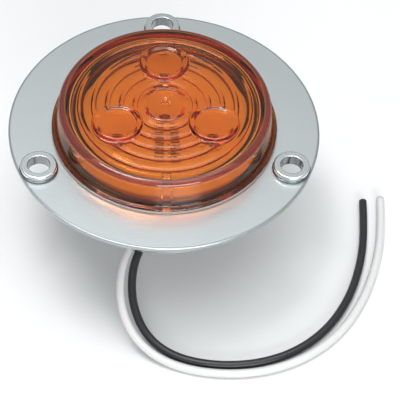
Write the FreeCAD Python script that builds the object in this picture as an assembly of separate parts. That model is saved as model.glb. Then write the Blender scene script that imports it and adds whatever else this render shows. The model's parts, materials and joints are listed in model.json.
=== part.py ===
import FreeCAD, Part
import math
import os

# A round flange-mount LED marker and clearance lamp with its plug-in pigtail, in millimetres.
# The origin is the centre of the flange's back face, where the lamp meets its panel.
# +Z points out of the lens, and the single screw hole stands on +Y.

V = FreeCAD.Vector
ORIGIN = V(0, 0, 0)
Z_AXIS = V(0, 0, 1)

# Chrome can and flange
FLANGE_R = 44.5
FLANGE_T = 1.35
DRUM_R = 34.9
DRUM_DEPTH = 15.0
CAN_WALL = 2.0
MOUTH_R = 31.3
LIP_DEPTH = 1.2
BACK_Z = -DRUM_DEPTH
BACK_INSIDE_Z = BACK_Z + CAN_WALL

# Screw eyelets pressed into the flange
SCREW_CIRCLE_R = 38.9
SCREW_ANGLES = {"top": 90.0, "left": 204.6, "right": 335.4}
EYELET_BORE_R = 3.1
EYELET_TUBE_R = 3.7
EYELET_COLLAR_R = 5.15
EYELET_LIP_R = 5.45
EYELET_LIP_H = 0.5
EYELET_PROUD = 2.0

# Round pocket in the can's back, with a notch for the plug's step, and a filling dimple
POCKET_R = 16.5
POCKET_DEPTH = 4.5
POCKET_WALL = 1.8
POCKET_FLOOR_Z = BACK_Z + POCKET_DEPTH
SHELF_Z = POCKET_FLOOR_Z + POCKET_WALL
NOTCH_HALF_W = 4.0
NOTCH_FROM_X = 8.0
NOTCH_TO_X = 19.4
DIMPLE_R = 1.3
DIMPLE_AT = V(-15.9, 13.4, 0)
DIMPLE_DEPTH = 0.8

# Two socket tubes, as far apart as the plug's prongs, on a line that passes beside the axis
PRONG_PITCH = 15.88
SOCKET_OFFSET = 7.0
SOCKET_LINE_DEG = 239.0
SOCKET_TUBE_R = 5.0
SOCKET_WELL_R = 4.2
SOCKET_MOUTH_Z = BACK_Z + 0.1
SOCKET_CAP_T = 1.2
SOCKET_PLATE_R = 17.6
SOCKET_PLATE_T = 1.6
PIN_R = 1.95
PIN_TIP_Z = -12.0
PIN_TIP_ROUND = 0.9
PIN_TAIL_R = 0.7
SOLDER_R = 1.3
SOLDER_H = 0.9

# The board's underside, the socket caps, the potting and the lens skirt share one level
DECK_Z = -0.8

# Lens, one moulding with its optics
BRIM_R = 32.2
BRIM_T = 1.0
LENS_BASE_R = 31.0
LENS_TOP_R = 30.2
LENS_TOP_Z = 11.3
LENS_WALL_FOOT = 2.4
LENS_WALL_HEAD = 2.8
LENS_TOP_T = 2.2
LENS_EDGE_R = 1.8
LENS_INNER_EDGE_R = 2.0
GASKET_T = 0.4
GASKET_INNER_R = 31.1
GASKET_OUTER_R = 32.0
OPTIC_ANGLES = {"top": 90.0, "left": 210.0, "right": 330.0}
OPTIC_CIRCLE_R = 15.5
OPTIC_R = 7.2
OPTIC_PROUD = 0.8
OPTIC_DEPTH = 1.6
RING_FIRST_R = 8.5
RING_PITCH = 3.9
RING_COUNT = 5
RING_W = 0.9
RING_D = 0.5
WALL_RIB_HALF_W = 1.25
WALL_RIB_INNER_R = 26.4

# Circuit board and what is soldered to it
BOARD_R = 25.7
BOARD_T = 1.6
BOARD_TOP_Z = DECK_Z + BOARD_T
LED_SIDE = 5.0
LED_BODY_T = 1.8
LED_DOME_R = 1.7
LEG_W = 0.8
LEG_T = 0.3
LEG_OUT = 0.9
LEG_PITCH = 3.0
CHIP_L = 2.6
CHIP_W = 1.6
CHIP_T = 0.7
RESISTOR_SPOTS = [(-1.7, -4.8), (2.9, -4.8), (-1.7, -8.0), (2.9, -7.6)]
DIODE_SPOTS = {"rectifier_diode": (-1.7, -11.2), "surge_diode": (2.9, -12.8)}

# Right-angle plug, in axes of its own: the prongs' midpoint is the origin and the wires leave along +X
SEAT_GAP = 0.3
SLAB_TOP_Z = BACK_Z - SEAT_GAP
SLAB_T = 7.5
SLAB_HALF_W = 7.0
SLAB_TO_X = 19.0
SLAB_TOP_EDGE_R = 0.4
SLAB_BOTTOM_EDGE_R = 1.8
BOSS_R = 3.9
BOSS_H = 8.0
STEP_FROM_X = 13.3
STEP_TO_X = 18.6
STEP_HALF_W = 3.5
STEP_H = 3.6
BARREL_R = 2.4
BARREL_BORE_R = 2.0
BARREL_PROUD = 4.8
BARREL_TIP_Z = SLAB_TOP_Z + BOSS_H + BARREL_PROUD
BARREL_FOOT_Z = -17.3
BARREL_FOOT_T = 0.6
SLIT_W = 0.7
SLIT_L = 4.4
SADDLE_HALF_L = 1.5
SADDLE_INNER_Y = 0.2

# Two insulated wires, side by side out of the plug and then lying on one level
WIRE_R = 1.2
WIRE_SIDE_Y = 1.35
WIRE_Z = -18.8
LAID_Z = -35.8
BEND_SHARE = 0.45
BLACK_ROUTE = [
    V(-2.63, -20.59, WIRE_Z),
    V(-6.65, -27.27, WIRE_Z),
    V(-9.50, -34.60, -22.2),
    V(-9.20, -42.60, -27.9),
    V(-5.00, -49.60, -33.4),
    V(2.80, -54.60, LAID_Z),
    V(13.60, -57.40, LAID_Z),
    V(26.20, -57.00, LAID_Z),
    V(38.00, -52.60, LAID_Z),
    V(47.70, -44.40, LAID_Z),
    V(54.60, -33.40, LAID_Z),
    V(58.90, -21.00, LAID_Z),
    V(61.00, -8.60, LAID_Z),
    V(61.60, 2.40, LAID_Z),
]
WHITE_ROUTE = [
    V(-4.94, -19.20, WIRE_Z),
    V(-9.06, -26.05, WIRE_Z),
    V(-12.60, -34.00, -21.9),
    V(-12.70, -43.00, -27.6),
    V(-8.00, -51.20, -33.2),
    V(1.10, -57.10, LAID_Z),
    V(13.40, -60.30, LAID_Z),
    V(27.20, -59.90, LAID_Z),
    V(40.20, -55.10, LAID_Z),
    V(50.80, -46.40, LAID_Z),
    V(58.40, -34.60, LAID_Z),
    V(63.40, -21.60, LAID_Z),
    V(66.20, -8.40, LAID_Z),
    V(67.00, 3.40, LAID_Z),
]


def export(name, shape):
    shape.exportStep("parts/" + name + ".step")


def on_circle(radius, degrees):
    angle = math.radians(degrees)
    return V(radius * math.cos(angle), radius * math.sin(angle), 0)


def cylinder(radius, z_low, z_high, at=ORIGIN):
    return Part.makeCylinder(radius, z_high - z_low, V(at.x, at.y, z_low))


def box(x_from, x_to, y_from, y_to, z_from, z_to):
    return Part.makeBox(x_to - x_from, y_to - y_from, z_to - z_from, V(x_from, y_from, z_from))


def fused(shapes):
    whole = shapes[0]
    for shape in shapes[1:]:
        whole = whole.fuse(shape)
    return whole.removeSplitter()


def corner(before, point, after, radius):
    """Start, middle and end of the arc that rounds the corner at point."""
    back = (before - point).normalize()
    ahead = (after - point).normalize()
    half_turn = (math.pi - back.getAngle(ahead)) / 2
    cut = radius * math.tan(half_turn)
    rise = radius / math.cos(half_turn) - radius
    middle = point + (back + ahead).normalize() * rise
    return point + back * cut, middle, point + ahead * cut


def half_section(corners):
    """A closed face in the XZ plane through (radius, z, rounding) corners."""
    points = [V(r, 0, z) for r, z, _ in corners]
    spans = []
    arcs = []
    for i, (_, _, rounding) in enumerate(corners):
        if rounding:
            start, middle, end = corner(points[i - 1], points[i], points[(i + 1) % len(points)], rounding)
            arcs.append(Part.Arc(start, middle, end).toShape())
            spans.append((start, end))
        else:
            spans.append((points[i], points[i]))
    lines = [
        Part.LineSegment(leave, spans[(i + 1) % len(spans)][0]).toShape()
        for i, (_, leave) in enumerate(spans)
    ]
    return Part.Face(Part.Wire(Part.sortEdges(lines + arcs)[0]))


def turned(corners):
    """A solid of revolution about Z from a half section."""
    return half_section(corners).revolve(ORIGIN, Z_AXIS, 360)


def plug_placement():
    middle = on_circle(SOCKET_OFFSET, SOCKET_LINE_DEG + 90)
    return FreeCAD.Placement(middle, FreeCAD.Rotation(Z_AXIS, SOCKET_LINE_DEG))


def seated(shape):
    """The shape moved from the plug's own axes to its seat in the lamp's back."""
    moved = shape.copy()
    moved.Placement = plug_placement().multiply(moved.Placement)
    return moved


def socket_points():
    """Centres of the sockets: the one at the plug's round end, then the one beside its wires."""
    return [plug_placement().multVec(V(side * PRONG_PITCH / 2, 0, 0)) for side in (-1, 1)]


def screw_point(name):
    return on_circle(SCREW_CIRCLE_R, SCREW_ANGLES[name])


def notch():
    half = NOTCH_HALF_W
    return seated(box(NOTCH_FROM_X, NOTCH_TO_X, -half, half, BACK_Z - 1, POCKET_FLOOR_Z))


def flange_can():
    can = turned([
        (0, POCKET_FLOOR_Z, 0),
        (POCKET_R, POCKET_FLOOR_Z, 0.4),
        (POCKET_R, BACK_Z, 0.5),
        (DRUM_R, BACK_Z, 2.5),
        (DRUM_R, 0, 0.8),
        (FLANGE_R, 0, 0.25),
        (FLANGE_R, FLANGE_T, 0.3),
        (MOUTH_R, FLANGE_T, 0.2),
        (MOUTH_R, -LIP_DEPTH, 0),
        (DRUM_R - CAN_WALL, -LIP_DEPTH, 0),
        (DRUM_R - CAN_WALL, BACK_INSIDE_Z, 1.0),
        (POCKET_R + POCKET_WALL, BACK_INSIDE_Z, 0.4),
        (POCKET_R + POCKET_WALL, SHELF_Z, 0),
        (0, SHELF_Z, 0),
    ])
    side = NOTCH_HALF_W + POCKET_WALL
    notch_walls = seated(box(NOTCH_FROM_X, NOTCH_TO_X + POCKET_WALL, -side, side, BACK_INSIDE_Z, SHELF_Z))
    notch_walls = notch_walls.cut(cylinder(POCKET_R, BACK_Z, POCKET_FLOOR_Z))
    can = can.fuse(notch_walls).cut(notch())
    for point in socket_points():
        can = can.cut(cylinder(SOCKET_TUBE_R, POCKET_FLOOR_Z - 1, SHELF_Z + 1, point))
    for name in SCREW_ANGLES:
        can = can.cut(cylinder(EYELET_TUBE_R, 0, FLANGE_T + 1, screw_point(name)))
    can = can.cut(cylinder(DIMPLE_R, BACK_Z - 1, BACK_Z + DIMPLE_DEPTH, DIMPLE_AT))
    return can.removeSplitter()


def screw_eyelet(name):
    top = FLANGE_T + EYELET_PROUD
    eyelet = turned([
        (EYELET_BORE_R, 0, 0),
        (EYELET_TUBE_R, 0, 0),
        (EYELET_TUBE_R, FLANGE_T, 0),
        (EYELET_LIP_R, FLANGE_T, 0),
        (EYELET_LIP_R, FLANGE_T + EYELET_LIP_H, 0.12),
        (EYELET_COLLAR_R, FLANGE_T + EYELET_LIP_H, 0.08),
        (EYELET_COLLAR_R, top, 0.45),
        (EYELET_BORE_R, top, 0.25),
    ])
    eyelet.translate(screw_point(name))
    return eyelet


def lens_shell():
    brim_low = FLANGE_T + GASKET_T
    brim_high = brim_low + BRIM_T
    ceiling = LENS_TOP_Z - LENS_TOP_T
    return turned([
        (0, ceiling, 0),
        (LENS_TOP_R - LENS_WALL_HEAD, ceiling, LENS_INNER_EDGE_R),
        (LENS_BASE_R - LENS_WALL_FOOT, DECK_Z, 0),
        (LENS_BASE_R, DECK_Z, 0),
        (LENS_BASE_R, brim_low, 0),
        (BRIM_R, brim_low, 0.3),
        (BRIM_R, brim_high, 0.4),
        (LENS_BASE_R, brim_high, 0.3),
        (LENS_TOP_R, LENS_TOP_Z, LENS_EDGE_R),
        (0, LENS_TOP_Z, 0),
    ])


def lens_optic(at, proud):
    """A bull's-eye: a low disc over the lens's face and a shorter boss under it."""
    ceiling = LENS_TOP_Z - LENS_TOP_T
    boss = turned([
        (0, ceiling - OPTIC_DEPTH, 0),
        (OPTIC_R - 0.9, ceiling - OPTIC_DEPTH, 0.4),
        (OPTIC_R, ceiling + 0.3, 0),
        (OPTIC_R, LENS_TOP_Z + proud, 0.5 if proud else 0),
        (0, LENS_TOP_Z + proud, 0),
    ])
    boss.translate(at)
    return boss


def lens():
    ceiling = LENS_TOP_Z - LENS_TOP_T
    pieces = [lens_shell(), lens_optic(ORIGIN, 0)]
    pieces += [lens_optic(on_circle(OPTIC_CIRCLE_R, angle), OPTIC_PROUD) for angle in OPTIC_ANGLES.values()]
    for i in range(RING_COUNT):
        radius = RING_FIRST_R + i * RING_PITCH
        ring = cylinder(radius + RING_W / 2, ceiling - RING_D, ceiling + 0.2)
        pieces.append(ring.cut(cylinder(radius - RING_W / 2, ceiling - RING_D, ceiling + 0.2)))
    wall_y = -(LENS_TOP_R - LENS_WALL_HEAD / 2)
    half = WALL_RIB_HALF_W
    pieces.append(box(-half, half, wall_y, -WALL_RIB_INNER_R, BOARD_TOP_Z, ceiling + 0.2))
    return fused(pieces)


def lens_gasket():
    low = FLANGE_T
    high = FLANGE_T + GASKET_T
    return cylinder(GASKET_OUTER_R, low, high).cut(cylinder(GASKET_INNER_R, low, high))


def socket_block():
    block = cylinder(SOCKET_PLATE_R, SHELF_Z, SHELF_Z + SOCKET_PLATE_T)
    for point in socket_points():
        block = block.fuse(cylinder(SOCKET_TUBE_R, SOCKET_MOUTH_Z, DECK_Z, point))
    for point in socket_points():
        block = block.cut(cylinder(SOCKET_WELL_R, SOCKET_MOUTH_Z, DECK_Z - SOCKET_CAP_T, point))
        block = block.cut(cylinder(PIN_TAIL_R, DECK_Z - SOCKET_CAP_T, DECK_Z, point))
    return block.removeSplitter()


def contact_pin(at):
    shoulder = DECK_Z - SOCKET_CAP_T
    pin = turned([
        (0, PIN_TIP_Z, 0),
        (PIN_R, PIN_TIP_Z, PIN_TIP_ROUND),
        (PIN_R, shoulder, 0),
        (PIN_TAIL_R, shoulder, 0),
        (PIN_TAIL_R, BOARD_TOP_Z + SOLDER_H, 0.2),
        (0, BOARD_TOP_Z + SOLDER_H, 0),
    ])
    pin.translate(at)
    return pin


def pin_solder():
    """The solder fillet round each pin's tail on top of the board."""
    joints = []
    for point in socket_points():
        joint = turned([
            (PIN_TAIL_R, BOARD_TOP_Z, 0),
            (SOLDER_R, BOARD_TOP_Z, 0),
            (PIN_TAIL_R, BOARD_TOP_Z + SOLDER_H * 0.8, 0),
        ])
        joint.translate(point)
        joints.append(joint)
    return Part.makeCompound(joints)


def potting(can, block):
    fill = cylinder(DRUM_R - CAN_WALL, BACK_INSIDE_Z, DECK_Z)
    for point in socket_points():
        fill = fill.cut(cylinder(SOCKET_TUBE_R, BACK_Z, DECK_Z, point))
    fill = fill.cut(cylinder(POCKET_R, BACK_Z, SHELF_Z)).cut(notch())
    return fill.cut(can).cut(block).removeSplitter()


def circuit_board():
    board = cylinder(BOARD_R, DECK_Z, BOARD_TOP_Z)
    for point in socket_points():
        board = board.cut(cylinder(PIN_TAIL_R, DECK_Z, BOARD_TOP_Z, point))
    return board


def led(at):
    half = LED_SIDE / 2
    top = BOARD_TOP_Z + LED_BODY_T
    body = box(-half, half, -half, half, BOARD_TOP_Z, top)
    dome = Part.makeSphere(LED_DOME_R, V(0, 0, top), Z_AXIS, 0, 90, 360)
    package = body.fuse(dome)
    package.translate(at)
    return package


def led_legs(centres):
    """Four soldered tabs beside each LED."""
    half = LED_SIDE / 2
    tabs = []
    for at in centres:
        for side in (-1, 1):
            for step in (-1, 1):
                y = step * LEG_PITCH / 2
                near, far = sorted((side * half, side * (half + LEG_OUT)))
                tab = box(near, far, y - LEG_W / 2, y + LEG_W / 2, BOARD_TOP_Z, BOARD_TOP_Z + LEG_T)
                tab.translate(at)
                tabs.append(tab)
    return Part.makeCompound(tabs)


def chip(x, y):
    half_l = CHIP_L / 2
    half_w = CHIP_W / 2
    return box(x - half_l, x + half_l, y - half_w, y + half_w, BOARD_TOP_Z, BOARD_TOP_Z + CHIP_T)


def conductor(from_x, side):
    """The stretch of one wire that is moulded into the plug, from its terminal to the end face."""
    start = V(from_x - SADDLE_HALF_L, side * WIRE_SIDE_Y, WIRE_Z)
    return Part.makeCylinder(WIRE_R, SLAB_TO_X - start.x, start, V(1, 0, 0))


def terminal_space(at_x, side):
    """All that a terminal takes up in the plug: its barrel, bore included, and the saddle on its wire."""
    barrel = cylinder(BARREL_R, BARREL_FOOT_Z, BARREL_TIP_Z, V(at_x, 0, 0))
    near, far = sorted((side * SADDLE_INNER_Y, side * BARREL_R))
    saddle = box(at_x - SADDLE_HALF_L, at_x + SADDLE_HALF_L, near, far, WIRE_Z, BARREL_FOOT_Z)
    return barrel.fuse(saddle)


def terminal(space, at_x, wire):
    """A split barrel that slips over a pin, closed at its foot, with a saddle on the wire."""
    bore = cylinder(BARREL_BORE_R, BARREL_FOOT_Z + BARREL_FOOT_T, BARREL_TIP_Z, V(at_x, 0, 0))
    reach = BARREL_R + 1
    slit = box(at_x - reach, at_x + reach, -SLIT_W / 2, SLIT_W / 2, BARREL_TIP_Z - SLIT_L, BARREL_TIP_Z)
    return space.cut(bore).cut(slit).cut(wire).removeSplitter()


def level_edges(shape, z):
    """The edges that lie wholly at height z."""
    return [e for e in shape.Edges if e.BoundBox.ZLength < 1e-6 and abs(e.CenterOfMass.z - z) < 1e-6]


def plug_slab():
    bottom = SLAB_TOP_Z - SLAB_T
    round_x = -PRONG_PITCH / 2
    slab = box(round_x, SLAB_TO_X, -SLAB_HALF_W, SLAB_HALF_W, bottom, SLAB_TOP_Z)
    end_edges = [e for e in slab.Edges if abs(e.CenterOfMass.x - SLAB_TO_X) < 1e-6]
    upright = [e for e in end_edges if e.BoundBox.ZLength > 1]
    slab = slab.makeFillet(2.4, upright)
    slab = slab.fuse(cylinder(SLAB_HALF_W, bottom, SLAB_TOP_Z, V(round_x, 0, 0))).removeSplitter()
    slab = slab.makeFillet(SLAB_BOTTOM_EDGE_R, level_edges(slab, bottom))
    return slab.makeFillet(SLAB_TOP_EDGE_R, level_edges(slab, SLAB_TOP_Z))


def plug_boss(at_x):
    boss_top = SLAB_TOP_Z + BOSS_H
    boss = turned([
        (0, SLAB_TOP_Z - 1, 0),
        (BOSS_R, SLAB_TOP_Z - 1, 0),
        (BOSS_R, boss_top, 0.6),
        (0, boss_top, 0),
    ])
    boss.translate(V(at_x, 0, 0))
    return boss


def plug_step():
    step = box(STEP_FROM_X, STEP_TO_X, -STEP_HALF_W, STEP_HALF_W, SLAB_TOP_Z - 1, SLAB_TOP_Z + STEP_H)
    return step.makeFillet(0.7, level_edges(step, SLAB_TOP_Z + STEP_H))


def plug_body(inserts):
    body = fused([plug_slab(), plug_step()] + [plug_boss(side * PRONG_PITCH / 2) for side in (-1, 1)])
    return body.cut(fused(inserts)).removeSplitter()


def bend_radius(before, point, after):
    turn = (point - before).getAngle(after - point)
    shorter = min((point - before).Length, (after - point).Length)
    return BEND_SHARE * shorter / math.tan(turn / 2)


def route_path(points):
    """Straight runs joined by tangent arcs, and the arcs' radii."""
    edges = []
    radii = []
    leave = points[0]
    for before, point, after in zip(points, points[1:], points[2:]):
        radius = bend_radius(before, point, after)
        start, middle, end = corner(before, point, after, radius)
        edges.append(Part.LineSegment(leave, start).toShape())
        edges.append(Part.Arc(start, middle, end).toShape())
        radii.append(radius)
        leave = end
    edges.append(Part.LineSegment(leave, points[-1]).toShape())
    return Part.Wire(edges), radii


def wire_tube(name, points):
    path, radii = route_path(points)
    circle = Part.Circle(points[0], points[1] - points[0], WIRE_R).toShape()
    tube = path.makePipeShell([Part.Wire(circle)], True, True)
    expected = math.pi * WIRE_R ** 2 * path.Length
    runs = [(b - a).Length for a, b in zip(points, points[1:])]
    print(name, "length %.1f" % path.Length, "volume ratio %.4f" % (tube.Volume / expected))
    print("  radii", " ".join("%.0f" % r for r in radii), "runs", " ".join("%.1f" % r for r in runs))
    return tube


def export_lamp():
    can = flange_can()
    block = socket_block()
    export("flange_can", can)
    export("socket_block", block)
    export("potting", potting(can, block))
    export("lens", lens())
    export("lens_gasket", lens_gasket())
    export("circuit_board", circuit_board())
    export("pin_solder", pin_solder())
    for name in SCREW_ANGLES:
        export("screw_eyelet_" + name, screw_eyelet(name))
    for name, point in zip(("far", "near"), socket_points()):
        export("contact_pin_" + name, contact_pin(point))
    centres = {name: on_circle(OPTIC_CIRCLE_R, angle) for name, angle in OPTIC_ANGLES.items()}
    centres["centre"] = ORIGIN
    for name, at in centres.items():
        export("led_" + name, led(at))
    export("led_legs", led_legs(centres.values()))
    for i, (x, y) in enumerate(RESISTOR_SPOTS, 1):
        export("chip_resistor_%d" % i, chip(x, y))
    for name, (x, y) in DIODE_SPOTS.items():
        export(name, chip(x, y))


def export_pigtail():
    ends = {"far": (-PRONG_PITCH / 2, -1, "white"), "near": (PRONG_PITCH / 2, 1, "black")}
    inserts = []
    for name, (at_x, side, colour) in ends.items():
        wire = conductor(at_x, side)
        space = terminal_space(at_x, side)
        inserts += [wire, space]
        export("plug_terminal_" + name, seated(terminal(space, at_x, wire)))
        export("moulded_conductor_" + colour, seated(wire))
    export("plug_body", seated(plug_body(inserts)))
    export("wire_black", wire_tube("wire_black", BLACK_ROUTE))
    export("wire_white", wire_tube("wire_white", WHITE_ROUTE))


os.makedirs("parts", exist_ok=True)
export_lamp()
export_pigtail()
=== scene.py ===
import json
import math

import bmesh
import bpy
import numpy as np
from mathutils import Matrix, Vector


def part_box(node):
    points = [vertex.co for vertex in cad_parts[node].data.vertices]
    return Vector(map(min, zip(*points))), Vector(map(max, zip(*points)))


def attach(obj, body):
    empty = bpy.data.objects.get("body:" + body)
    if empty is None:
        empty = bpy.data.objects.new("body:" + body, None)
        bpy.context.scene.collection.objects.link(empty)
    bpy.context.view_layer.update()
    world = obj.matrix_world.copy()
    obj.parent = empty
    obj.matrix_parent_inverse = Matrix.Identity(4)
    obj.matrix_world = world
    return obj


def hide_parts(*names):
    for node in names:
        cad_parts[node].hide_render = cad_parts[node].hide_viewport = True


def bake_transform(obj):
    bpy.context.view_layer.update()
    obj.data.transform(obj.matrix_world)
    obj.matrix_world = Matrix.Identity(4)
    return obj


# The looks of a flange-mount marker lamp. Lengths are in metres, in the CAD model's frame:
# the origin is the centre of the flange's back face, +Z goes out of the lens, +Y to the lone screw eyelet.

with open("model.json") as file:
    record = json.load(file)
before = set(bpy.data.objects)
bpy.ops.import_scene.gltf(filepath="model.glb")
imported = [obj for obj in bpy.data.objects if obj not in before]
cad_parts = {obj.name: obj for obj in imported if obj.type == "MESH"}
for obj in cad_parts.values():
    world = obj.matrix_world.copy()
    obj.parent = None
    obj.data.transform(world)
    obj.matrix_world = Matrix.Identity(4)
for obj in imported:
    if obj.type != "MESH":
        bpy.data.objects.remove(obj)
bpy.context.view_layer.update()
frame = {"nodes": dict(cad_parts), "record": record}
nodes = frame["nodes"]
MM = 0.001

# Camera and floor
CAMERA_AT = Vector((-0.01325, -0.31601, 0.35573))
CAMERA_AIM = Vector((0.00941, -0.02626, 0))
CAMERA_ROLL = math.radians(3.454)
CAMERA_LENS_MM = 149.1
FLOOR_Z = -37.0 * MM
FLOOR_HALF = 3.0

# Studio: brightness of the surroundings against the sine of the height above the horizon
SKY_BANDS = [
    (0.0, 0.60), (0.05, 0.10), (0.30, 0.08), (0.38, 0.50), (0.60, 0.34),
    (0.69, 0.31), (0.79, 0.45), (0.87, 0.50), (0.92, 2.4), (1.0, 2.7),
]
SKY_STRENGTH = 1.1
SOFTBOXES = {  # place, aim and size in metres, then watts
    "key_light": ((-0.25, 0.15, 1.05), (0, 0, 0), (0.35, 0.35), 4),
    "fill_light": ((0.2, -0.95, 0.28), (0, -0.1, -0.03), (0.7, 0.35), 7),
}
FLOOR_COLOUR = (0.76, 0.76, 0.76)
GUIDED_BOUNCES = 28

# Lens profile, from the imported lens's box outwards and inwards
LENS_LOW, LENS_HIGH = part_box("lens")
BOARD_TOP_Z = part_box("circuit_board")[1].z
OPTIC_PROUD = 0.8 * MM
LENS_TOP_Z = LENS_HIGH.z - OPTIC_PROUD
BRIM_R = 32.2 * MM
AIR_GAP = 0.05 * MM
BRIM_LOW_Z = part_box("lens_gasket")[1].z + AIR_GAP
BRIM_T = 0.95 * MM
BRIM_ROUND_R = 0.4 * MM
BRIM_CHAMFER = 0.15 * MM
WALL_FILLET_R = 0.3 * MM
WALL_BASE_R = 31.0 * MM
WALL_TOP_R = 30.2 * MM
WALL_FOOT_T = 2.4 * MM
WALL_HEAD_T = 2.8 * MM
TOP_T = 2.2 * MM
EDGE_R = 1.8 * MM
INNER_EDGE_R = 2.0 * MM
CEILING_Z = LENS_TOP_Z - TOP_T
SKIRT_Z = LENS_LOW.z + AIR_GAP

# Bands of colour: the sealant's bead, the lens's rim painted a deeper red as painted shade, and painted
# shade at the foot inside its wall
BEAD_INNER_R = 29.5 * MM
RIM_WIDTH = 2.2 * MM
FOOT_SHADE_Z = BRIM_LOW_Z + BRIM_T + 2.2 * MM

# Flange and can: the heights over which the plating turns from the sides' finish to the faces' finish
FLANGE_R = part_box("flange_can")[1].x
FRONT_FROM_Z, FRONT_TO_Z = 1.1 * MM, 1.3 * MM
BACK_FROM_Z, BACK_TO_Z = -14.9 * MM, -14.0 * MM

# Screw eyelets
EYELET_BORE_R = 3.1 * MM
EYELET_COLLAR_R = 5.15 * MM
EYELET_TOP_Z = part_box("screw_eyelet_top")[1].z
EYELET_CREASE_Z = EYELET_TOP_Z - 1.5 * MM

# Lens optics
OPTIC_R = 7.2 * MM
OPTIC_INNER_R = 5.4 * MM
OPTIC_CIRCLE_R = 15.5 * MM
OPTIC_ANGLES = {"top": 90, "left": 210, "right": 330}
OPTIC_DEPTH = 1.5 * MM
RING_RADII = [r * MM for r in (8.5, 12.4, 16.3, 20.2, 24.1)]
RIDGE_H = 0.42 * MM
RIDGE_HALF_W = 0.5 * MM
STEP_H = 0.2 * MM
TOP_RIDGE_H = 0.17 * MM
TOP_RIDGE_HALF_W = 0.5 * MM
OPTIC_DISH = 0.35 * MM
STAR_R = 2.3 * MM
STAR_DEPTH = 0.35 * MM
STEP_RUN = 0.3 * MM
RIB_HALF_W = 1.25 * MM
RIB_DEPTH = 0.7 * MM
RIB_BLEND = 0.1 * MM

# Lens mesh: sectors round it, and the step between the rings of its flat stretches
LENS_SECTORS = 380
LENS_STEP = 0.3 * MM

# LEDs and chips
LED_HALF = 2.5 * MM
LED_BODY_T = 1.8 * MM
LED_DOME_R = 1.7 * MM
LED_CUP_R = 1.9 * MM
LED_CUP_TAPER = 0.2 * MM
LED_CUP_T = 0.12 * MM
LED_BEVEL = 0.25 * MM
LED_DOME_LIFT = 0.13 * MM

# Wires.
WIRE_D = 2.4 * MM
STRAND_R = 0.19 * MM
STRAND_OUT = 0.35 * MM
BLACK_ROUTE = [
    (-2.63, -20.59, -18.8), (-6.65, -27.27, -18.8), (-9.50, -34.60, -22.2), (-9.20, -42.60, -27.9),
    (-5.00, -49.60, -33.4), (2.80, -54.60, -35.8), (13.60, -57.40, -35.8), (26.20, -57.00, -35.8),
    (38.00, -52.60, -35.8), (47.70, -44.40, -35.8), (54.60, -33.40, -35.8), (58.90, -21.00, -35.8),
    (61.00, -8.60, -35.8), (61.60, 2.40, -35.8),
]
WHITE_ROUTE = [
    (-4.94, -19.20, -18.8), (-9.06, -26.05, -18.8), (-12.60, -34.00, -21.9), (-12.70, -43.00, -27.6),
    (-8.00, -51.20, -33.2), (1.10, -57.10, -35.8), (13.40, -60.30, -35.8), (27.20, -59.90, -35.8),
    (40.20, -55.10, -35.8), (50.80, -46.40, -35.8), (58.40, -34.60, -35.8), (63.40, -21.60, -35.8),
    (66.20, -8.40, -35.8), (67.00, 3.40, -35.8),
]


# ---------------------------------------------------------------- materials

class Nodes:
    """Short calls for building one material's node tree."""

    def __init__(self, name):
        self.material = bpy.data.materials.new(name)
        self.material.use_nodes = True
        self.tree = self.material.node_tree
        self.shader = self.tree.nodes["Principled BSDF"]
        self.output = self.tree.nodes["Material Output"]

    def node(self, kind, inputs=None, **settings):
        made = self.tree.nodes.new(kind)
        for key, value in settings.items():
            setattr(made, key, value)
        for key, value in (inputs or {}).items():
            self.feed(made, key, value)
        return made

    def feed(self, target, key, value):
        socket = target.inputs[key]
        if isinstance(value, bpy.types.NodeSocket):
            self.tree.links.new(value, socket)
        else:
            socket.default_value = value

    def shade(self, **inputs):
        for key, value in inputs.items():
            self.feed(self.shader, key.replace("_", " "), value)

    def place(self):
        return self.node("ShaderNodeTexCoord").outputs["Object"]

    def axes(self):
        return self.node("ShaderNodeSeparateXYZ", {"Vector": self.place()}).outputs

    def radius(self, axes, middle=(0, 0, 0)):
        """Distance from the line through middle along Z."""
        flat = self.node("ShaderNodeCombineXYZ", {"X": axes["X"], "Y": axes["Y"], "Z": 0.0})
        ends = {0: flat.outputs["Vector"], 1: middle}
        return self.node("ShaderNodeVectorMath", ends, operation="DISTANCE").outputs["Value"]

    def maths(self, operation, first, second):
        return self.node("ShaderNodeMath", {0: first, 1: second}, operation=operation).outputs[0]

    def noise(self, scale, detail=3, place=None, roughness=0.5):
        vector = self.place() if place is None else place
        inputs = {"Vector": vector, "Scale": scale, "Detail": detail, "Roughness": roughness}
        made = self.node("ShaderNodeTexNoise", inputs)
        return made.outputs["Fac"]

    def span(self, value, low, high, start=0.0, end=1.0):
        made = self.node(
            "ShaderNodeMapRange",
            {"Value": value, "From Min": start, "From Max": end, "To Min": low, "To Max": high},
        )
        return made.outputs["Result"]

    def blend(self, factor, first, second):
        made = self.node("ShaderNodeMix", data_type="RGBA")
        self.feed(made, 0, factor)
        self.feed(made, 6, (*first, 1) if isinstance(first, tuple) else first)
        self.feed(made, 7, (*second, 1) if isinstance(second, tuple) else second)
        return made.outputs[2]

    def bump(self, height, strength, distance):
        made = self.node("ShaderNodeBump", {"Height": height, "Strength": strength, "Distance": distance})
        return made.outputs["Normal"]


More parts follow.
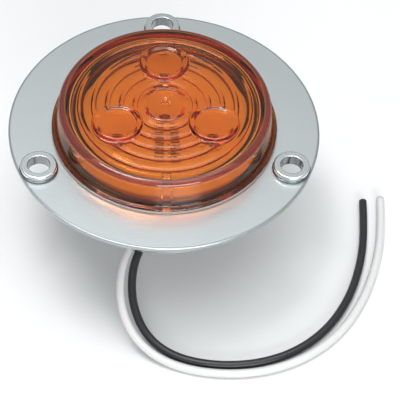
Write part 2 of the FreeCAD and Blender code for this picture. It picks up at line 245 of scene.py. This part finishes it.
def chrome(name, face_roughness, side_roughness):
    """Plated metal: the flange's front and the can's back are duller than its turned sides, and the flange's
    outer edge is painted darker, as painted shade, and duller.
    """
    n = Nodes(name)
    place = n.place()
    axes = n.axes()
    front = n.span(axes["Z"], 0, 1, FRONT_FROM_Z, FRONT_TO_Z)
    back = n.span(axes["Z"], 1, 0, BACK_FROM_Z, BACK_TO_Z)
    faces = n.maths("MAXIMUM", front, back)
    turn = n.maths("ARCTAN2", axes["Y"], axes["X"])
    reach = n.node("ShaderNodeVectorMath", {0: place}, operation="LENGTH").outputs["Value"]
    spokes = n.node("ShaderNodeCombineXYZ", {"X": turn, "Y": reach, "Z": 0.0}).outputs["Vector"]
    streaks = n.noise(26, 4, spokes, 0.65)
    specks = n.noise(1500, 2)
    relief = n.maths("ADD", n.maths("MULTIPLY", streaks, back), specks)
    # painted shade: the flange's outer edge is painted a darker grey, and made duller, in place of its
    # highlight
    painted_shade_rim = n.span(reach, 0, 1, FLANGE_R - 0.7 * MM, FLANGE_R - 0.45 * MM)
    plate = n.blend(n.noise(45, 3), (0.76, 0.82, 0.83), (0.84, 0.88, 0.89))
    n.shade(
        Base_Color=n.blend(painted_shade_rim, plate, (0.46, 0.49, 0.50)),
        Metallic=1.0,
        Roughness=n.span(n.maths("MAXIMUM", faces, painted_shade_rim), side_roughness, face_roughness),
        Normal=n.bump(relief, 0.12, 0.0002),
    )
    return n.material


def eyelet_chrome(name, middle):
    """Plated eyelet: a satin ring round a dull bore painted dark as painted shade, and painted shade in the
    crease at its foot.
    """
    n = Nodes(name)
    axes = n.axes()
    reach = n.radius(axes, middle)
    # painted shade: the bore is painted a dark grey
    bore = n.span(reach, 1, 0, EYELET_BORE_R + 0.03 * MM, EYELET_BORE_R + 0.25 * MM)
    ring = n.span(axes["Z"], 0, 1, EYELET_TOP_Z - 0.3 * MM, EYELET_TOP_Z - 0.05 * MM)
    # painted shade: a dark band is painted round the collar's foot, in the crease
    outside = n.span(reach, 0, 1, EYELET_COLLAR_R - 0.1 * MM, EYELET_COLLAR_R)
    below = n.span(axes["Z"], 1, 0, EYELET_CREASE_Z - 0.05 * MM, EYELET_CREASE_Z + 0.45 * MM)
    plate = n.blend(n.noise(300, 3), (0.78, 0.84, 0.85), (0.86, 0.90, 0.91))
    plate_with_painted_bore_shade = n.blend(bore, plate, (0.30, 0.31, 0.32))
    n.shade(
        Base_Color=n.blend(n.maths("MULTIPLY", outside, below), plate_with_painted_bore_shade, (0.22, 0.23, 0.24)),
        Metallic=1.0,
        Roughness=n.span(ring, 0.1, 0.26),
        Normal=n.bump(n.noise(1500, 2), 0.1, 0.0001),
    )
    return n.material


def amber():
    """Clear amber plastic: part of the colour is taken at its surfaces and the rest along the way through.

    The rounded edge is painted a deeper red and made less clear, as painted shade, and the inside of the
    wall's foot is painted dark, as painted shade.
    """
    n = Nodes("amber_lens")
    axes = n.axes()
    reach = n.radius(axes)
    # painted shade: the rounded edge is painted a deeper red and made less clear
    outer = n.span(reach, 0, 1, WALL_TOP_R - RIM_WIDTH, WALL_TOP_R - RIM_WIDTH + 0.5 * MM)
    high = n.span(axes["Z"], 0, 1, LENS_TOP_Z - 1.5 * MM, LENS_TOP_Z - 1.1 * MM)
    painted_shade_rim = n.maths("MULTIPLY", outer, high)
    # painted shade: the inside of the wall's foot is painted a dark red-brown
    inner = n.span(reach, 1, 0, WALL_BASE_R - 1.4 * MM, WALL_BASE_R - 1.0 * MM)
    low = n.span(axes["Z"], 1, 0, FOOT_SHADE_Z - 0.5 * MM, FOOT_SHADE_Z + 0.5 * MM)
    rim_colour_with_painted_shade = n.blend(painted_shade_rim, (1.0, 0.65, 0.20), (0.30, 0.065, 0.05))
    n.shade(
        Base_Color=n.blend(n.maths("MULTIPLY", inner, low), rim_colour_with_painted_shade, (0.20, 0.05, 0.03)),
        Roughness=0.02,
        IOR=1.58,
        Transmission_Weight=n.span(painted_shade_rim, 1.0, 0.55),
        Specular_IOR_Level=0.3,
    )
    absorption = n.node("ShaderNodeVolumeAbsorption", {"Color": (0.97, 0.30, 0.02, 1), "Density": 130.0})
    n.tree.links.new(absorption.outputs["Volume"], n.output.inputs["Volume"])
    return n.material


def resin():
    """Cast black epoxy, with the pale bead of sealant that the lens's skirt stands in."""
    n = Nodes("potting_resin")
    bead = n.span(n.radius(n.axes()), 0, 1, BEAD_INNER_R - 0.1 * MM, BEAD_INNER_R + 0.1 * MM)
    n.shade(
        Base_Color=n.blend(bead, (0.045, 0.035, 0.032), (0.62, 0.50, 0.44)),
        Roughness=n.span(n.noise(200, 3), 0.2, 0.45),
        Normal=n.bump(n.noise(260, 3), 0.35, 0.0004),
    )
    return n.material


def clear_dome():
    """The LED's clear encapsulant, tinted by its phosphor."""
    n = Nodes("led_dome")
    n.shade(Base_Color=(1.0, 0.62, 0.30, 1), Roughness=0.06, IOR=1.5, Transmission_Weight=0.75)
    return n.material


def copper():
    n = Nodes("copper_strand")
    metal = n.blend(n.noise(900, 2), (0.62, 0.26, 0.13), (0.86, 0.45, 0.26))
    n.shade(Base_Color=metal, Metallic=1.0, Roughness=0.3)
    return n.material


def plain(name, colour, roughness, metallic=0.0, shift=0.12):
    """A moulded or cast finish: one colour with slight mottling and a fine surface grain."""
    n = Nodes(name)
    mottle = n.noise(120, 3)
    darker = tuple(c * (1 - shift) for c in colour)
    n.shade(
        Base_Color=n.blend(mottle, darker, colour),
        Metallic=metallic,
        Roughness=n.span(mottle, roughness * 0.85, min(roughness * 1.15, 1), 0.3, 0.7),
        Normal=n.bump(n.noise(600, 2), 0.3, 0.00005),
    )
    return n.material


FINISHES = {
    "chrome_plating": chrome("chrome_plating", 0.3, 0.07),
    "amber_lens": amber(),
    "seal_rubber": plain("seal_rubber", (0.50, 0.40, 0.35), 0.5),
    "potting_resin": resin(),
    "socket_plastic": plain("socket_plastic", (0.05, 0.05, 0.055), 0.4),
    "board_laminate": plain("board_laminate", (0.92, 0.90, 0.86), 0.45, shift=0.06),
    "solder_tin": plain("solder_tin", (0.75, 0.75, 0.74), 0.25, metallic=1.0),
    "nickelled_brass": plain("nickelled_brass", (0.78, 0.75, 0.68), 0.22, metallic=1.0),
    "tinned_brass": plain("tinned_brass", (0.80, 0.79, 0.76), 0.28, metallic=1.0),
    "led_package": plain("led_package", (0.86, 0.80, 0.66), 0.3),
    "resistor_package": plain("resistor_package", (0.24, 0.13, 0.11), 0.4),
    "diode_package": plain("diode_package", (0.16, 0.10, 0.09), 0.4),
    "plug_rubber": plain("plug_rubber", (0.028, 0.024, 0.034), 0.38),
    "black_insulation": plain("black_insulation", (0.02, 0.02, 0.023), 0.32),
    "white_insulation": plain("white_insulation", (0.66, 0.66, 0.65), 0.35, shift=0.05),
}

LED_DOME = clear_dome()
# painted shade: the dark disc that stands for the shade inside each LED's cup
LED_CUP = plain("led_cup", (0.20, 0.07, 0.04), 0.35)
COPPER = copper()


def finish_node(node, slot):
    mesh = nodes[node].data
    mesh.materials.clear()
    mesh.materials.append(FINISHES[slot])


def add_piece(name, mesh, material):
    mesh.materials.append(material)
    piece = bpy.data.objects.new(name, mesh)
    bpy.context.scene.collection.objects.link(piece)
    return piece


def smooth_piece(name, vertices, faces, slot):
    mesh = bpy.data.meshes.new(name)
    mesh.from_pydata(vertices, [], faces)
    mesh.shade_smooth()
    return add_piece(name, mesh, FINISHES[slot])


def bmesh_piece(name, made, material):
    mesh = bpy.data.meshes.new(name)
    made.to_mesh(mesh)
    made.free()
    return add_piece(name, mesh, material)


# ---------------------------------------------------------------- lens

def smooth_step(start, end, value):
    t = np.clip((value - start) / (end - start), 0, 1)
    return t * t * (3 - 2 * t)


def arc_points(centre, radius, from_deg, to_deg, count):
    angles = np.radians(np.linspace(from_deg, to_deg, count))
    return [(centre[0] + radius * math.cos(a), centre[1] + radius * math.sin(a)) for a in angles]


def flat_radii(outer):
    count = int(round(outer / LENS_STEP))
    return list(np.linspace(outer / count, outer, count))


def lens_rings():
    """Radius, height and surface of each ring, from the top's centre round to the underside's centre."""
    edge_r = WALL_TOP_R - EDGE_R
    rings = [(r, LENS_TOP_Z, "top") for r in flat_radii(edge_r)]
    rings += [(r, z, "wall") for r, z in arc_points((edge_r, LENS_TOP_Z - EDGE_R), EDGE_R, 84, 2, 14)]
    brim_high = BRIM_LOW_Z + BRIM_T
    wall_heights = np.linspace(LENS_TOP_Z - EDGE_R, brim_high + WALL_FILLET_R, 22)[1:]
    slope = (WALL_BASE_R - WALL_TOP_R) / (LENS_TOP_Z - EDGE_R - brim_high)
    rings += [(WALL_TOP_R + (LENS_TOP_Z - EDGE_R - z) * slope, z, "wall") for z in wall_heights]
    fillet_centre = (WALL_BASE_R + WALL_FILLET_R, brim_high + WALL_FILLET_R)
    rings += [(r, z, "wall") for r, z in arc_points(fillet_centre, WALL_FILLET_R, 180, 270, 5)[1:]]
    round_centre = (BRIM_R - BRIM_ROUND_R, brim_high - BRIM_ROUND_R)
    rings += [(r, z, "wall") for r, z in arc_points(round_centre, BRIM_ROUND_R, 90, 0, 7)]
    rings += [(BRIM_R, BRIM_LOW_Z + BRIM_CHAMFER, "wall"), (BRIM_R - BRIM_CHAMFER, BRIM_LOW_Z, "wall")]
    rings += [(WALL_BASE_R, BRIM_LOW_Z, "wall"), (WALL_BASE_R, SKIRT_Z, "wall")]
    inner_base = WALL_BASE_R - WALL_FOOT_T
    inner_top = WALL_TOP_R - WALL_HEAD_T
    inner_heights = np.linspace(SKIRT_Z, CEILING_Z - INNER_EDGE_R, 16)
    inner_slope = (inner_base - inner_top) / (inner_heights[-1] - SKIRT_Z)
    rings += [(inner_base - (z - SKIRT_Z) * inner_slope, z, "inside") for z in inner_heights]
    corner = (inner_top - INNER_EDGE_R, CEILING_Z - INNER_EDGE_R)
    rings += [(r, z, "inside") for r, z in arc_points(corner, INNER_EDGE_R, 8, 86, 9)]
    rings += [(r, CEILING_Z, "under") for r in reversed(flat_radii(inner_top - INNER_EDGE_R))]
    return rings


def optic_centres():
    turns = [math.radians(a) for a in OPTIC_ANGLES.values()]
    return [(OPTIC_CIRCLE_R * math.cos(t), OPTIC_CIRCLE_R * math.sin(t)) for t in turns]


def top_relief(x, y):
    """How far the top stands out: fine rings, three proud dished bull's-eyes, and a star at the centre."""
    r = np.hypot(x, y)
    height = np.zeros_like(r)
    for ring in RING_RADII:
        height += TOP_RIDGE_H * np.exp(-((r - ring) / TOP_RIDGE_HALF_W) ** 2)
    for cx, cy in optic_centres() + [(0.0, 0.0)]:
        d = np.hypot(x - cx, y - cy)
        proud = OPTIC_PROUD if (cx, cy) != (0.0, 0.0) else TOP_RIDGE_H
        disc = 1 - smooth_step(OPTIC_R - 0.6 * MM, OPTIC_R, d)
        dish = 1 - smooth_step(OPTIC_INNER_R - 0.35 * MM, OPTIC_INNER_R + 0.1 * MM, d)
        height = height * (1 - disc) + disc * (proud - dish * min(OPTIC_DISH, proud))
    lobes = STAR_R * (0.62 + 0.38 * np.cos(3 * (np.arctan2(y, x) - math.pi / 2)))
    return height - STAR_DEPTH * (1 - smooth_step(lobes * 0.45, lobes, r))


def under_relief(x, y):
    """How far the underside hangs down: steps with a ridge at each, and a boss under each optic."""
    r = np.hypot(x, y)
    depth = np.zeros_like(r)
    for ring in RING_RADII:
        depth += RIDGE_H * np.exp(-((r - ring) / RIDGE_HALF_W) ** 2)
        depth += STEP_H * (1 - smooth_step(ring, ring + STEP_RUN, r))
    for cx, cy in optic_centres() + [(0.0, 0.0)]:
        d = np.hypot(x - cx, y - cy)
        boss = 1 - smooth_step(OPTIC_R - 0.7 * MM, OPTIC_R, d)
        core = 1 - smooth_step(OPTIC_INNER_R - 0.25 * MM, OPTIC_INNER_R + 0.15 * MM, d)
        crown = 1 - (np.minimum(d, OPTIC_INNER_R) / OPTIC_INNER_R) ** 2
        depth = depth * (1 - boss) + boss * OPTIC_DEPTH * (0.5 + core * (0.28 + 0.22 * crown))
    return depth


def lens_turns():
    """Even turns round the lens, with extra ones at both sides of the rib inside the wall's front."""
    even = np.linspace(0, 2 * math.pi, LENS_SECTORS, endpoint=False)
    offsets = [side * (RIB_HALF_W + step) for side in (-1, 1) for step in (-RIB_BLEND, RIB_BLEND)]
    beside_rib = 1.5 * math.pi + np.arcsin(np.array(offsets) / (WALL_BASE_R - WALL_FOOT_T))
    return np.sort(np.concatenate([even, beside_rib]))


def lens():
    rings = lens_rings()
    turns = lens_turns()
    sectors = len(turns)
    cos, sin = np.cos(turns), np.sin(turns)
    points = []
    for r, z, surface in rings:
        x, y = r * cos, r * sin
        height = np.full(sectors, z)
        if surface == "top":
            height = height + top_relief(x, y)
        elif surface == "under":
            height = height - under_relief(x, y)
        elif surface == "inside":
            rib = (1 - smooth_step(RIB_HALF_W - RIB_BLEND, RIB_HALF_W + RIB_BLEND, np.abs(x))) * (y < 0)
            rib = rib * smooth_step(BOARD_TOP_Z - 0.1 * MM, BOARD_TOP_Z + 0.1 * MM, z)
            x, y = x * (1 - rib * RIB_DEPTH / r), y * (1 - rib * RIB_DEPTH / r)
        points.append(np.stack([x, y, height], 1))
    vertices = np.concatenate(points)
    first = len(vertices)
    zero = np.zeros(1)
    top = (0, 0, LENS_TOP_Z + float(top_relief(zero, zero)[0]))
    bottom = (0, 0, CEILING_Z - float(under_relief(zero, zero)[0]))
    vertices = np.concatenate([vertices, [top, bottom]])
    here = np.arange(sectors)
    after = (here + 1) % sectors
    faces = []
    for i in range(len(rings) - 1):
        a, b = i * sectors, (i + 1) * sectors
        faces += np.stack([a + here, b + here, b + after, a + after], 1).tolist()
    last = (len(rings) - 1) * sectors
    faces += [(first, int(p), int(q)) for p, q in zip(here, after)]
    faces += [(first + 1, last + int(q), last + int(p)) for p, q in zip(here, after)]
    piece = smooth_piece("lens_moulding", vertices.tolist(), faces, "amber_lens")
    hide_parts("lens")
    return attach(piece, "lamp")


# ---------------------------------------------------------------- wires

def route_line(points):
    """Points read from the smooth NURBS line that has the route's points as its control points."""
    curve = bpy.data.curves.new("route", "CURVE")
    curve.dimensions = "3D"
    curve.resolution_u = 24
    spline = curve.splines.new("NURBS")
    spline.points.add(len(points) - 1)
    for control, point in zip(spline.points, points):
        control.co = (*(c * MM for c in point), 1)
    spline.order_u = 3
    spline.use_endpoint_u = True
    holder = bpy.data.objects.new("route", curve)
    bpy.context.scene.collection.objects.link(holder)
    line = bpy.data.meshes.new_from_object(holder)
    found = [v.co.copy() for v in line.vertices]
    bpy.data.objects.remove(holder)
    return found


def tube_along(line, radius, sides=20):
    """Vertices and faces of a round tube that follows the line, closed at both ends."""
    vertices = []
    up = Vector((0, 0, 1))
    for i, point in enumerate(line):
        ahead = line[min(i + 1, len(line) - 1)] - line[max(i - 1, 0)]
        side = ahead.cross(up).normalized()
        rise = side.cross(ahead).normalized()
        for k in range(sides):
            turn = 2 * math.pi * k / sides
            vertices.append(point + (side * math.cos(turn) + rise * math.sin(turn)) * radius)
    faces = []
    for i in range(len(line) - 1):
        for k in range(sides):
            a, b = i * sides + k, i * sides + (k + 1) % sides
            faces.append((a, b, b + sides, a + sides))
    faces.append(tuple(range(sides - 1, -1, -1)))
    faces.append(tuple(range((len(line) - 1) * sides, len(line) * sides)))
    return vertices, faces


def wire(name, route):
    line = route_line(route)
    vertices, faces = tube_along(line, WIRE_D / 2)
    piece = smooth_piece("insulation_" + name, vertices, faces, name + "_insulation")
    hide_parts("wire_" + name)
    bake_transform(piece)
    ends = strands(name, line[-1], line[-1] - line[-2])
    return piece


def strands(name, tip, ahead):
    """Seven copper strands showing in the cut end of a wire."""
    turn = ahead.to_track_quat("Z", "Y")
    mesh = bmesh.new()
    spots = [Vector((0, 0, 0))]
    spots += [Vector((math.cos(t), math.sin(t), 0)) * STRAND_R * 2 for t in np.radians(range(0, 360, 60))]
    for spot in spots:
        place = Matrix.Translation(tip + turn @ spot) @ turn.to_matrix().to_4x4()
        made = bmesh.ops.create_cone(
            mesh, cap_ends=True, segments=12, radius1=STRAND_R, radius2=STRAND_R * 0.9, depth=STRAND_OUT * 2
        )
        bmesh.ops.transform(mesh, matrix=place, verts=made["verts"])
    piece = bmesh_piece("strands_" + name, mesh, COPPER)
    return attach(piece, "lamp")


# ---------------------------------------------------------------- LEDs

def led(name, at):
    """A bevelled package with a thin dark disc on its top, painted as the shade in its cup, and a clear dome
    over it.
    """
    top = BOARD_TOP_Z + LED_BODY_T
    body = bmesh.new()
    bmesh.ops.create_cube(body, size=1)
    size = Matrix.Diagonal((2 * LED_HALF, 2 * LED_HALF, LED_BODY_T, 1))
    middle = Matrix.Translation((*at, top - LED_BODY_T / 2))
    bmesh.ops.transform(body, matrix=middle @ size, verts=body.verts)
    bmesh.ops.bevel(body, geom=body.edges, offset=LED_BEVEL, segments=3, affect="EDGES")
    package = bmesh_piece("led_package_" + name, body, FINISHES["led_package"])
    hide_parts("led_" + name)
    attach(package, "lamp")
    # painted shade: a thin dark disc standing in for the shade inside the package's cup
    cup = bmesh.new()
    top_r = LED_CUP_R - LED_CUP_TAPER
    bmesh.ops.create_cone(cup, cap_ends=True, segments=48, radius1=LED_CUP_R, radius2=top_r, depth=LED_CUP_T)
    bmesh.ops.translate(cup, vec=(*at, top + LED_CUP_T / 2), verts=cup.verts)
    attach(bmesh_piece("led_cup_" + name, cup, LED_CUP), "lamp")
    dome = bmesh.new()
    bmesh.ops.create_uvsphere(dome, u_segments=40, v_segments=24, radius=LED_DOME_R)
    whole = dome.verts[:] + dome.edges[:] + dome.faces[:]
    bmesh.ops.bisect_plane(dome, geom=whole, plane_co=(0, 0, 0), plane_no=(0, 0, 1), clear_inner=True)
    bmesh.ops.contextual_create(dome, geom=[e for e in dome.edges if e.is_boundary])
    bmesh.ops.translate(dome, vec=(*at, top + LED_DOME_LIFT), verts=dome.verts)
    clear = bmesh_piece("led_dome_" + name, dome, LED_DOME)
    clear.data.shade_smooth()
    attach(clear, "lamp")


def leds():
    places = dict(zip(OPTIC_ANGLES, optic_centres()))
    places["centre"] = (0.0, 0.0)
    for name, at in places.items():
        led(name, at)


# ---------------------------------------------------------------- stage

def camera():
    data = bpy.data.cameras.new("camera")
    data.lens = CAMERA_LENS_MM
    data.sensor_width = 36
    data.clip_start = 0.01
    seen_by = bpy.data.objects.new("camera", data)
    bpy.context.scene.collection.objects.link(seen_by)
    look = (CAMERA_AIM - CAMERA_AT).to_track_quat("-Z", "Y")
    seen_by.rotation_mode = "QUATERNION"
    seen_by.rotation_quaternion = look @ Matrix.Rotation(CAMERA_ROLL, 3, "Z").to_quaternion()
    seen_by.location = CAMERA_AT
    bpy.context.scene.camera = seen_by


def floor():
    mesh = bpy.data.meshes.new("floor")
    signs = [(-1, -1), (1, -1), (1, 1), (-1, 1)]
    corners = [(x * FLOOR_HALF, y * FLOOR_HALF, FLOOR_Z) for x, y in signs]
    mesh.from_pydata(corners, [], [(0, 1, 2, 3)])
    mesh.materials.append(plain("floor_paper", FLOOR_COLOUR, 0.9, shift=0.0))
    sheet = bpy.data.objects.new("floor", mesh)
    bpy.context.scene.collection.objects.link(sheet)


def softbox(name, at, aim, size, power):
    data = bpy.data.lights.new(name, "AREA")
    data.shape = "RECTANGLE"
    data.size, data.size_y = size
    data.energy = power
    lamp = bpy.data.objects.new(name, data)
    lamp.location = at
    lamp.rotation_mode = "QUATERNION"
    lamp.rotation_quaternion = (Vector(aim) - Vector(at)).to_track_quat("-Z", "Y")
    bpy.context.scene.collection.objects.link(lamp)


def surroundings():
    world = bpy.data.worlds.new("studio")
    bpy.context.scene.world = world
    world.use_nodes = True
    tree = world.node_tree
    background = tree.nodes["Background"]
    place = tree.nodes.new("ShaderNodeTexCoord")
    split = tree.nodes.new("ShaderNodeSeparateXYZ")
    ramp = tree.nodes.new("ShaderNodeValToRGB")
    tree.links.new(place.outputs["Generated"], split.inputs["Vector"])
    tree.links.new(split.outputs["Z"], ramp.inputs["Fac"])
    tree.links.new(ramp.outputs["Color"], background.inputs["Color"])
    bands = ramp.color_ramp.elements
    for position, _ in SKY_BANDS[2:]:
        bands.new(position)
    for band, (position, level) in zip(bands, SKY_BANDS):
        band.position = position
        band.color = (level * 0.97, level, level * 1.01, 1)
    background.inputs["Strength"].default_value = SKY_STRENGTH


bpy.context.scene.view_settings.view_transform = "Standard"
# Light that the lens's wall guides round its ring needs many turns before it is absorbed.
bpy.context.scene.cycles.max_bounces = GUIDED_BOUNCES
bpy.context.scene.cycles.transmission_bounces = GUIDED_BOUNCES
camera()
floor()
surroundings()
for light, (at, aim, size, watts) in SOFTBOXES.items():
    softbox(light, at, aim, size, watts)

for entry in frame["record"]["subparts"]:
    finish_node(entry["node"], entry["material_slot"])
for eyelet in ("screw_eyelet_top", "screw_eyelet_left", "screw_eyelet_right"):
    low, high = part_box(eyelet)
    middle = ((low.x + high.x) / 2, (low.y + high.y) / 2, 0)
    nodes[eyelet].data.materials[0] = eyelet_chrome(eyelet, middle)
lens()
leds()
wire("black", BLACK_ROUTE)
wire("white", WHITE_ROUTE)
